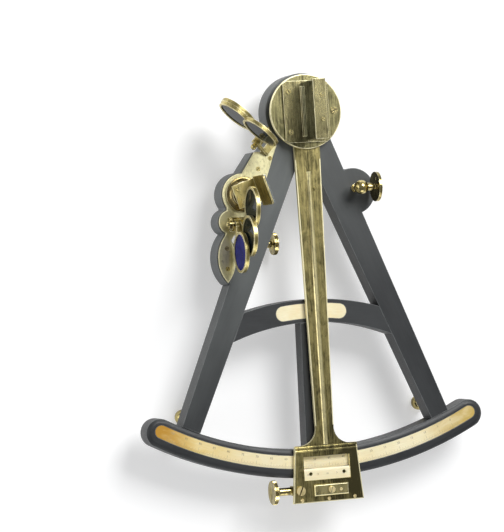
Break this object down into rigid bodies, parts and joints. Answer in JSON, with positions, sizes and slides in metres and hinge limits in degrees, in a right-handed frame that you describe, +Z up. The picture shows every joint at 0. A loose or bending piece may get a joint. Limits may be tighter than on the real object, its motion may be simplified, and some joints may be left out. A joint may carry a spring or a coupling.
{
  "type": "octant",
  "caption": "Triangular ebony frame with a brass index arm swinging over an inlaid ivory arc, two small mirrors, swing-away shades and a peep sight.",
  "frame": {"origin": "middle of the three feet's ground plane, under the centre of the box, with the instrument lying on its feet", "axes": "+X to the right of the scale as read, +Y along the frame to the pivot, +Z up out of the reading face"},
  "size_m": [0.299, 0.3614, 0.0968],
  "materials": {
    "ebony": "waxed, satin",
    "aged_brass": "lacquered and aged, brushed",
    "bright_brass": "polished, slightly aged",
    "ivory": "polished, yellowed",
    "silvered_glass": "silvered glass",
    "dark_glass": "dark green-grey glass",
    "blue_glass": "deep blue glass"
  },
  "bodies": {
    "frame": {"left_leg": "ebony", "right_leg": "ebony", "limb": "ebony", "cross_brace": "ebony", "centre_bar": "ebony", "arc_scale": "ivory", "name_plate": "ivory", "centre_plate": "aged_brass", "pivot_bush": "aged_brass", "back_plate": "aged_brass", "back_screws": "aged_brass", "feet": "aged_brass", "fittings_plate": "bright_brass", "fittings_screws": "aged_brass", "index_shade_bracket": "aged_brass", "index_shade_pin": "bright_brass", "horizon_shade_bracket": "aged_brass", "horizon_shade_pin": "bright_brass", "peep_post": "bright_brass", "peep_vane": "aged_brass", "adjuster_bracket": "aged_brass"},
    "arm": {"index_arm": "aged_brass", "arm_rib": "bright_brass", "index_disc": "aged_brass", "mirror_frame": "aged_brass", "index_glass": "silvered_glass", "mirror_screws": "bright_brass", "pivot_shaft": "aged_brass", "pivot_washer": "aged_brass", "pivot_screw": "bright_brass", "vernier": "ivory", "vernier_screws": "bright_brass", "tangent_bearing": "aged_brass"},
    "clamp": {"clamp_block": "aged_brass", "slide_bar": "bright_brass", "slide_screw": "aged_brass"},
    "clamp_screw": {"clamp_screw": "bright_brass"},
    "tangent_screw": {"tangent_screw": "bright_brass"},
    "horizon": {"horizon_base": "aged_brass", "horizon_frame": "aged_brass", "horizon_glass": "silvered_glass", "horizon_screws": "bright_brass", "horizon_spindle": "aged_brass", "horizon_lever": "aged_brass"},
    "adjuster_screw": {"adjuster_screw": "bright_brass"},
    "peep_shutter": {"peep_shutter": "bright_brass"},
    "index_shade_1": {"index_shade_ring_1": "aged_brass", "index_shade_glass_1": "dark_glass"},
    "index_shade_2": {"index_shade_ring_2": "aged_brass", "index_shade_glass_2": "dark_glass"},
    "index_shade_3": {"index_shade_ring_3": "aged_brass", "index_shade_glass_3": "dark_glass"},
    "horizon_shade_1": {"horizon_shade_ring_1": "aged_brass", "horizon_shade_glass_1": "dark_glass"},
    "horizon_shade_2": {"horizon_shade_ring_2": "aged_brass", "horizon_shade_glass_2": "dark_glass"},
    "horizon_shade_3": {"horizon_shade_ring_3": "aged_brass", "horizon_shade_glass_3": "blue_glass"}
  },
  "joints": [
    {"name": "arm_swing", "type": "hinge", "parent": "frame", "child": "arm", "pos_m": [0, 0.14772, 0.045], "axis": [0, 0, 1], "range_deg": [-23.4, 21.6]},
    {"name": "tangent_turn", "type": "hinge", "parent": "arm", "child": "tangent_screw", "pos_m": [0.00499, -0.16974, 0.0405], "axis": [0.9999, 0.0157, 0], "range_deg": [-1542.8, 1542.8]},
    {"name": "clamp_swing", "type": "hinge", "parent": "arm", "child": "clamp", "pos_m": [0, 0.14772, 0.045], "axis": [0, 0, 1], "range_deg": [-0.54, 0.54]},
    {"name": "clamp_screw_turn", "type": "hinge", "parent": "clamp", "child": "clamp_screw", "pos_m": [0.00706, -0.1552, 0.02], "axis": [0, 0, 1], "range_deg": [0, 360]},
    {"name": "adjuster_turn", "type": "hinge", "parent": "frame", "child": "adjuster_screw", "pos_m": [-0.0505, 0.03841, 0.015], "axis": [1, 0, 0], "range_deg": [-2700, 2700]},
    {"name": "horizon_turn", "type": "hinge", "parent": "frame", "child": "horizon", "pos_m": [-0.0569, 0.08032, 0.045], "axis": [0, 0, 1], "range_deg": [-7.5, 7.5]},
    {"name": "peep_shutter_swing", "type": "hinge", "parent": "frame", "child": "peep_shutter", "pos_m": [0.0564, 0.08882, 0.06325], "axis": [1, 0, 0], "range_deg": [0, 60]},
    {"name": "index_shade_swing_1", "type": "hinge", "parent": "frame", "child": "index_shade_1", "pos_m": [-0.0402, 0.12722, 0.051], "axis": [-0.6691, -0.7431, 0], "range_deg": [-146.5, 65]},
    {"name": "index_shade_swing_2", "type": "hinge", "parent": "frame", "child": "index_shade_2", "pos_m": [-0.0402, 0.12722, 0.051], "axis": [-0.6691, -0.7431, 0], "range_deg": [-139.5, 72]},
    {"name": "index_shade_swing_3", "type": "hinge", "parent": "frame", "child": "index_shade_3", "pos_m": [-0.0402, 0.12722, 0.051], "axis": [-0.6691, -0.7431, 0], "range_deg": [-69.5, 142]},
    {"name": "horizon_shade_swing_1", "type": "hinge", "parent": "frame", "child": "horizon_shade_1", "pos_m": [-0.0633, 0.05522, 0.056], "axis": [1, 0, 0], "range_deg": [-23.4, 95]},
    {"name": "horizon_shade_swing_2", "type": "hinge", "parent": "frame", "child": "horizon_shade_2", "pos_m": [-0.0633, 0.05522, 0.056], "axis": [1, 0, 0], "range_deg": [-77.4, 41]},
    {"name": "horizon_shade_swing_3", "type": "hinge", "parent": "frame", "child": "horizon_shade_3", "pos_m": [-0.0633, 0.05522, 0.056], "axis": [1, 0, 0], "range_deg": [-118.4, 0]}
  ],
  "couplings": [
    {"joint": "clamp_swing", "follows": "tangent_turn", "ratio": 0.00035089},
    {"joint": "horizon_turn", "follows": "adjuster_turn", "ratio": 0.0027778}
  ]
}
